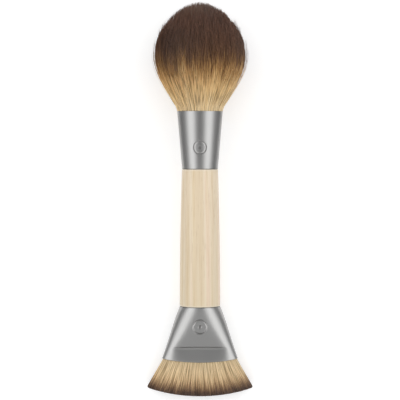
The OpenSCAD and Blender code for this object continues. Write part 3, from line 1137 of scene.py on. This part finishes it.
# %% [markdown]
# In the powder head a fibre runs out from the mouth of the ferrule along the waist, past
# the belly, and in again over the dome. One near the outside ends low on the dome and
# one near the middle reaches the top, which is what gives the head its domed trim. Its
# turn says where it stands round the axis, and its share how far out from it.

# %% Tree for the powder head: its inputs and fibres
powder_tree, wires = start_tree(
    "powder_fibres",
    (
        "Mouth radius", "Belly radius", "Waist length", "Dome length", "Lean", "Inner share",
        "Outer share", "Shown length", "Sink", "Width", "Cut back", "Drift", "Relief", "Fuzz",
        "Crowding", "Cut power",
    ),
    ("Count", "Steps", "Seed"),
)
seed = wires["Seed"]
inner = wires["Inner share"]
outer = wires["Outer share"]
depth = chance(powder_tree, seed, 1) ** wires["Crowding"]
spread = outer * outer - (outer * outer - inner * inner) * depth
curves = fibre_curves(
    powder_tree,
    wires,
    {"share": spread ** 0.5, "turn": chance(powder_tree, seed, 2, 0.0, 2 * math.pi)},
)
print("powder tree starts with", len(powder_tree.tree.nodes), "nodes")

# %% Tree for the powder head: the run of a fibre
WAIST_PULL = 0.7
DOME_ROUNDNESS = 1.8
share = kept(powder_tree, "share")
lean = wires["Lean"]
waist = wires["Waist length"]
dome = wires["Dome length"]
belly = wires["Belly radius"]
mouth = wires["Mouth radius"]
reach = share * (1.0 - lean) / (1.0 - share * lean)
end_z = waist + dome * (1.0 - reach ** DOME_ROUNDNESS) ** (1.0 / DOME_ROUNDNESS)
end_z = end_z - wires["Cut back"] * kept(powder_tree, "cut") ** wires["Cut power"]
start_z = (end_z - wires["Shown length"]).most(-wires["Sink"])
step = powder_tree.add("GeometryNodeSplineParameter", out="Factor")
fibre_z = start_z + (end_z - start_z) * step
before = (1.0 - fibre_z / waist).clamped()
swell = (1.0 - before) * (1.0 + before - WAIST_PULL * before * before)
waist_r = mouth + (belly - mouth) * swell
over = ((fibre_z - waist) / dome).clamped()
dome_share = (1.0 - over ** DOME_ROUNDNESS) ** (1.0 / DOME_ROUNDNESS)
dome_r = belly * (1.0 - lean * (1.0 - dome_share))

# %% [markdown]
# Three noises round the head break up what would be too even: locks, where fibres cling
# together, patches, where the dye starts earlier or later, and fine streaks of tone.
# They are read on a circle, so that none of them has a seam.

# %% Tree for the powder head: locks, dye and tint
LOCK_SCALE = 17.0
PATCH_SCALE = 9.0
STREAK_SCALE = 46.0
STREAK_TURNOVER = 6.0
LAYER_SHIFT = 0.2
DYE_BLOT = 0.06
DYE_PATCH = 0.3
TINT_STREAK = 11.0
TINT_FIBRE = 1.6
TINT_BASE = 0.3
TIP_TAPER = 0.6
base_turn = kept(powder_tree, "turn")
layer = share * LAYER_SHIFT
lock_place = powder_tree.vector(base_turn.math("COSINE"), base_turn.math("SINE"), layer)
lock = locks(powder_tree, lock_place, LOCK_SCALE)
blot = kept(powder_tree, "blot")
fibre_r = share * (waist_r + dome_r - belly)
fibre_r = fibre_r - step * (wires["Relief"] * (1.0 - lock) - wires["Fuzz"] * blot)
turn = base_turn + wires["Drift"] * kept(powder_tree, "slip") * (step * step)
turn_x = turn.math("COSINE")
turn_y = turn.math("SINE")
place = powder_tree.vector(fibre_r * turn_x, fibre_r * turn_y, fibre_z)
patch = powder_tree.noise(lock_place, PATCH_SCALE, 3.0)
streak_place = powder_tree.vector(turn_x, turn_y, layer + fibre_z * STREAK_TURNOVER)
streak = powder_tree.noise(streak_place, STREAK_SCALE, 1.0)
dye = fibre_z / (waist + dome) + DYE_BLOT * blot + DYE_PATCH * (patch - 0.5)
tint = (streak - 0.5) * TINT_STREAK + TINT_FIBRE * kept(powder_tree, "tint") + TINT_BASE
width = wires["Width"] * (1.0 - TIP_TAPER * step ** TAPER_POWER)
fibre_tubes(powder_tree, curves, place, width, dye, tint, powder_look)
print("powder tree:", len(powder_tree.tree.nodes), "nodes")

# %% [markdown]
# The tree runs four times. Two groups of long outer fibres go from the ferrule to the
# dome. Many shorter lengths stand for the ends of the inner ones, because the rest of an
# inner fibre never shows. A last, loose group stands a little proud and gives the head
# its soft edge.

# %% Powder head
BODY_INSET = 0.55 * MM
HALO_OUTSET = 1.0 * MM
mouth_r = cone_mouth_r - wall
powder_sizes = {
    "Mouth radius": mouth_r - 0.1 * MM,
    "Belly radius": belly_r - BODY_INSET,
    "Waist length": belly_z - cone_mouth_z,
    "Dome length": tip_z - belly_z - BODY_INSET,
    "Lean": 0.45,
    "Inner share": 0.94,
    "Outer share": 1.0,
    "Shown length": 1.0,
    "Sink": 1.5 * MM,
    "Width": 0.09 * MM,
    "Cut back": 6 * MM,
    "Drift": 0.14,
    "Relief": 0.15 * MM,
    "Fuzz": 0.3 * MM,
    "Crowding": 0.5,
    "Cut power": 2.0,
    "Count": 3550,
    "Steps": 9,
    "Seed": 11,
}
outer_fibres = {}
second_layer = {"Seed": 23, "Inner share": 0.9, "Outer share": 0.98, "Cut back": 3 * MM}
inner_ends = {
    "Seed": 37,
    "Inner share": 0.0,
    "Outer share": 0.97,
    "Belly radius": belly_r,
    "Dome length": tip_z - belly_z + 0.4 * MM,
    "Shown length": 12 * MM,
    "Cut back": 2.4 * MM,
    "Cut power": 0.5,
    "Crowding": 1.0,
    "Relief": 0.1 * MM,
    "Count": 7200,
    "Steps": 5,
}
halo = {
    "Seed": 53,
    "Inner share": 0.8,
    "Outer share": 1.0,
    "Belly radius": belly_r + HALO_OUTSET,
    "Dome length": tip_z - belly_z + HALO_OUTSET,
    "Width": 0.06 * MM,
    "Cut back": 5 * MM,
    "Cut power": 0.7,
    "Relief": 0.0,
    "Fuzz": 0.5 * MM,
    "Count": 800,
}
for number, changes in enumerate((outer_fibres, second_layer, inner_ends, halo), 1):
    sizes = {**powder_sizes, **changes}
    part = grown(f"powder_fibres_{number}", powder_tree, sizes, cone_mouth_z)
    finished(part, "powder_fibre", "powder_bristles")

# %% [markdown]
# A closed core of the same shape, a little smaller, stands behind the fibres, so that no
# light shines through the head. Its low tint darkens it as painted shade for the inside of
# the head.

# %% Core of the powder head
CORE_SHARE = 0.86
CORE_TOP_SHARE = 0.93
CORE_ROOT_SHARE = 0.9
CORE_ROOT_DEPTH = 2 * MM
CORE_TOP_TURN = 0.97 * math.pi / 2
CORE_ROWS = 30
CORE_COLS = 96
CORE_SHADE_TINT = 0.35
head_len = tip_z - cone_mouth_z


def head_r(z):
    """Radius of the head at height z over the mouth of its ferrule."""
    before = min(max(1 - z / (belly_z - cone_mouth_z), 0), 1)
    swell = (1 - before) * (1 + before - WAIST_PULL * before**2)
    waist_part = mouth_r + (belly_r - mouth_r) * swell
    over = min(max((z - belly_z + cone_mouth_z) / (tip_z - belly_z), 0), 1)
    return waist_part * (1 - over**DOME_ROUNDNESS) ** (1 / DOME_ROUNDNESS)


def give_numbers(thing, dye):
    """Stores the two numbers that the fibres' material reads, one pair for each point."""
    # The low tint of a core is painted shade for the inside of its head.
    for word, values in (("dye", dye), ("tint", np.full(len(dye), CORE_SHADE_TINT))):
        layer = thing.data.attributes.new(word, "FLOAT", "POINT")
        layer.data.foreach_set("value", np.asarray(values, np.float32))


core_zs = head_len * np.sin(np.linspace(0, CORE_TOP_TURN, CORE_ROWS))
core_profile = [(CORE_ROOT_SHARE * mouth_r, cone_mouth_z - CORE_ROOT_DEPTH)]
core_profile += [(CORE_SHARE * head_r(z), cone_mouth_z + CORE_TOP_SHARE * z) for z in core_zs]
core = skin("powder_core", turned_rows(core_profile, CORE_COLS), first_cap=True, last_cap=True)
heights = np.repeat([z - cone_mouth_z for _, z in core_profile], CORE_COLS) / head_len
give_numbers(core, np.clip(heights, 0, 1))
core.data.materials.append(powder_look)
finished(core, "powder_fibre", "powder_bristles")

# %% [markdown]
# The contour head is denser and shorter. Its fibres start in the flat mouth, spread like
# a fan, and are trimmed to an arc. Most of them are placed near the two faces, which are
# what the eye sees, and the rest fill the trimmed end. Here u says where a fibre stands
# across the fan, and side how near it is to one face or the other.

# %% Tree for the contour head: its inputs and fibres
fan_tree, wires = start_tree(
    "contour_fibres",
    (
        "Mouth half width", "Tip half width", "Band half thickness", "Tip half thickness",
        "Length", "Mouth bow", "Trim drop", "Tip rounding", "Sink", "Width", "Cut back", "Slip",
        "Relief",
    ),
    ("Count", "Steps", "Seed"),
)
seed = wires["Seed"]
curves = fibre_curves(
    fan_tree,
    wires,
    {"u": chance(fan_tree, seed, 1, -1.0, 1.0), "w": chance(fan_tree, seed, 2, -1.0, 1.0)},
)
print("contour tree starts with", len(fan_tree.tree.nodes), "nodes")

# %% Tree for the contour head: the run of a fibre
FACE_CROWDING = 2.2
TIP_SQUARENESS = 3.2
TIP_CROWN = 0.9
OVAL_POWER = 2 + CORNER_FULLNESS
u = kept(fan_tree, "u")
w = kept(fan_tree, "w")
side = w.math("SIGN") * (1.0 - (1.0 - abs(w)) ** FACE_CROWDING)
inwards = 1.0 - u * u
band = wires["Band half thickness"]
oval = band * OVAL_OVER_BAND * (1.0 - abs(u) ** OVAL_POWER) ** (1 / OVAL_POWER)
mouth_y = oval.math("SMOOTH_MIN", band, PRESS_SOFTNESS)
tip_y = wires["Tip half thickness"] * (1.0 - abs(u) ** TIP_SQUARENESS) ** (1 / TIP_SQUARENESS)
step = fan_tree.add("GeometryNodeSplineParameter", out="Factor")
crown = 1.0 - (1.0 - TIP_CROWN * side * side) ** 0.5
end_z = wires["Trim drop"] * u * u + wires["Tip rounding"] * crown * inwards
end_z = end_z + wires["Cut back"] * (kept(fan_tree, "cut") ** 2.0 - 0.5)
start_z = wires["Length"] - wires["Mouth bow"] * inwards + wires["Sink"]
fan_z = start_z + (end_z - start_z) * step
half_w = wires["Mouth half width"] + (wires["Tip half width"] - wires["Mouth half width"]) * step
half_t = mouth_y + (tip_y - mouth_y) * step
slipped = u + wires["Slip"] * kept(fan_tree, "slip") * step * step * inwards

# %% [markdown]
# The same three noises break up the fan. They are read across it and from face to face,
# and their features are finer, because this head is denser.

# %% Tree for the contour head: locks, dye and tint
FAN_LOCK_SCALE = 30.0
FAN_PATCH_SCALE = 48.0
FAN_STREAK_SCALE = 78.0
FAN_STREAK_TURNOVER = 0.06
FAN_LAYER_SHIFT = 0.1
FAN_DYE_START = 0.005
FAN_DYE_BLOT = 0.12
FAN_DYE_PATCH = 0.6
FAN_TINT_STREAK = 8.5
FAN_TINT_FIBRE = 0.8
FAN_TINT_BASE = 0.2
FAN_TIP_TAPER = 0.5
layer = side * FAN_LAYER_SHIFT
lock = locks(fan_tree, fan_tree.vector(u, layer), FAN_LOCK_SCALE)
fan_y = side * (half_t - wires["Relief"] * (1.0 - lock) * step)
place = fan_tree.vector(slipped * half_w, fan_y, fan_z)
patch = fan_tree.noise(fan_tree.vector(u, side), FAN_PATCH_SCALE, 2.0)
streak_place = fan_tree.vector(slipped, layer, step * FAN_STREAK_TURNOVER)
streak = fan_tree.noise(streak_place, FAN_STREAK_SCALE, 1.0)
dye = step + FAN_DYE_START + FAN_DYE_BLOT * kept(fan_tree, "blot") + FAN_DYE_PATCH * (patch - 0.5)
tint = (streak - 0.5) * FAN_TINT_STREAK + FAN_TINT_FIBRE * kept(fan_tree, "tint") + FAN_TINT_BASE
width = wires["Width"] * (1.0 - FAN_TIP_TAPER * step ** TAPER_POWER)
fibre_tubes(fan_tree, curves, place, width, dye, tint, contour_look)
print("contour tree:", len(fan_tree.tree.nodes), "nodes")

# %% [markdown]
# The tree runs twice with different seeds, and the two groups stand among each other as
# one dense head. Each stays light enough to be exported whole. The roots start a little
# inside the ferrule and clear of its metal, and the outer fibres aim at the fan's corners.

# %% Contour head
FAN_SEEDS = (5, 71)
FAN_SINK = 1.0 * MM
MOUTH_CLEARANCE = 0.15 * MM
fan_len = flat_side_z - fan_tip_z
inner_half_w = flat_half_w - wall - MOUTH_CLEARANCE
fan_slope = (fan_half_w - inner_half_w) / (fan_len - fan_drop)
fan_sizes = {
    "Mouth half width": inner_half_w - fan_slope * FAN_SINK,
    "Tip half width": fan_half_w,
    "Band half thickness": flat_half_t - wall - MOUTH_CLEARANCE,
    "Tip half thickness": fan_half_t,
    "Length": fan_len,
    "Mouth bow": mouth_bow,
    "Trim drop": fan_drop,
    "Tip rounding": 0.8 * MM,
    "Sink": FAN_SINK,
    "Width": 0.065 * MM,
    "Cut back": 0.6 * MM,
    "Slip": 0.03,
    "Relief": 0.35 * MM,
    "Count": 9000,
    "Steps": 4,
}
for number, fan_seed in enumerate(FAN_SEEDS, 1):
    sizes = {**fan_sizes, "Seed": fan_seed}
    part = grown(f"contour_fibres_{number}", fan_tree, sizes, fan_tip_z)
    finished(part, "contour_fibre", "contour_bristles")

# %% [markdown]
# The fan has a core too, darkened with the same painted shade. Its sections go from the
# flat mouth to the tips, and the last one is closed by faces that join its two sides.

# %% Core of the contour head
FAN_CORE_SHARE = 0.93
FAN_CORE_POWER = 3
FAN_CORE_ROWS = 12
FAN_CORE_ROOT_DEPTH = 2 * MM
FAN_CORE_TIP_GAP = 1.2 * MM


def fan_core_row(share):
    """A section of the core, a share of the way from the mouth to the tips."""
    u, side = around(CORE_COLS)
    thin = mix(flat_half_t - wall, fan_half_t, share) * FAN_CORE_SHARE
    y = thin * np.maximum(1 - np.abs(u) ** FAN_CORE_POWER, 0) ** (1 / FAN_CORE_POWER)
    start = flat_side_z - mouth_bow * (1 - u * u) + FAN_CORE_ROOT_DEPTH
    end = fan_tip_z + fan_drop * u * u + FAN_CORE_TIP_GAP
    x = u * mix(flat_half_w - wall, fan_half_w, share) * FAN_CORE_SHARE
    return np.column_stack([x, side * y, mix(start, end, share)])


core_shares = np.linspace(0, 1, FAN_CORE_ROWS)
fan_core = skin(
    "contour_core", [fan_core_row(s) for s in core_shares], first_cap=True, join_last=True
)
give_numbers(fan_core, np.repeat(core_shares, CORE_COLS))
fan_core.data.materials.append(contour_look)
finished(fan_core, "contour_fibre", "contour_bristles")

# %% [markdown]
# Inside the ferrules the roots are cast in resin and the tenons are glued. These pieces
# never show, but they are part of the brush, so they keep a finish of their own.

# %% Resin and glue
CAST_CLOUD_SCALE = 400.0
CAST_DARKER = 0.8
CAST_WANDER = 0.2


def cast_material(name, colour, rough):
    material, shader, graph = principled(name)
    place = graph.add("ShaderNodeTexCoord", out="Object")
    cloudy = graph.noise(place, CAST_CLOUD_SCALE, 3.0)
    darker = [CAST_DARKER * part for part in colour]
    graph.feed(shader, {
        "Base Color": graph.blend(cloudy, colour, darker),
        "Roughness": rough + CAST_WANDER * cloudy,
    })
    return material


resin = cast_material("cast_resin", srgb(217, 199, 154), 0.2)
glue = cast_material("cured_glue", srgb(239, 233, 220), 0.35)
hidden = {
    "powder_root_plug": resin,
    "contour_root_plug": resin,
    "powder_tenon_glue": glue,
    "contour_tenon_glue": glue,
}
for node, material in hidden.items():
    thing = frame["nodes"][node]
    thing.data.materials.clear()
    thing.data.materials.append(material)
print("hidden pieces:", len(hidden))
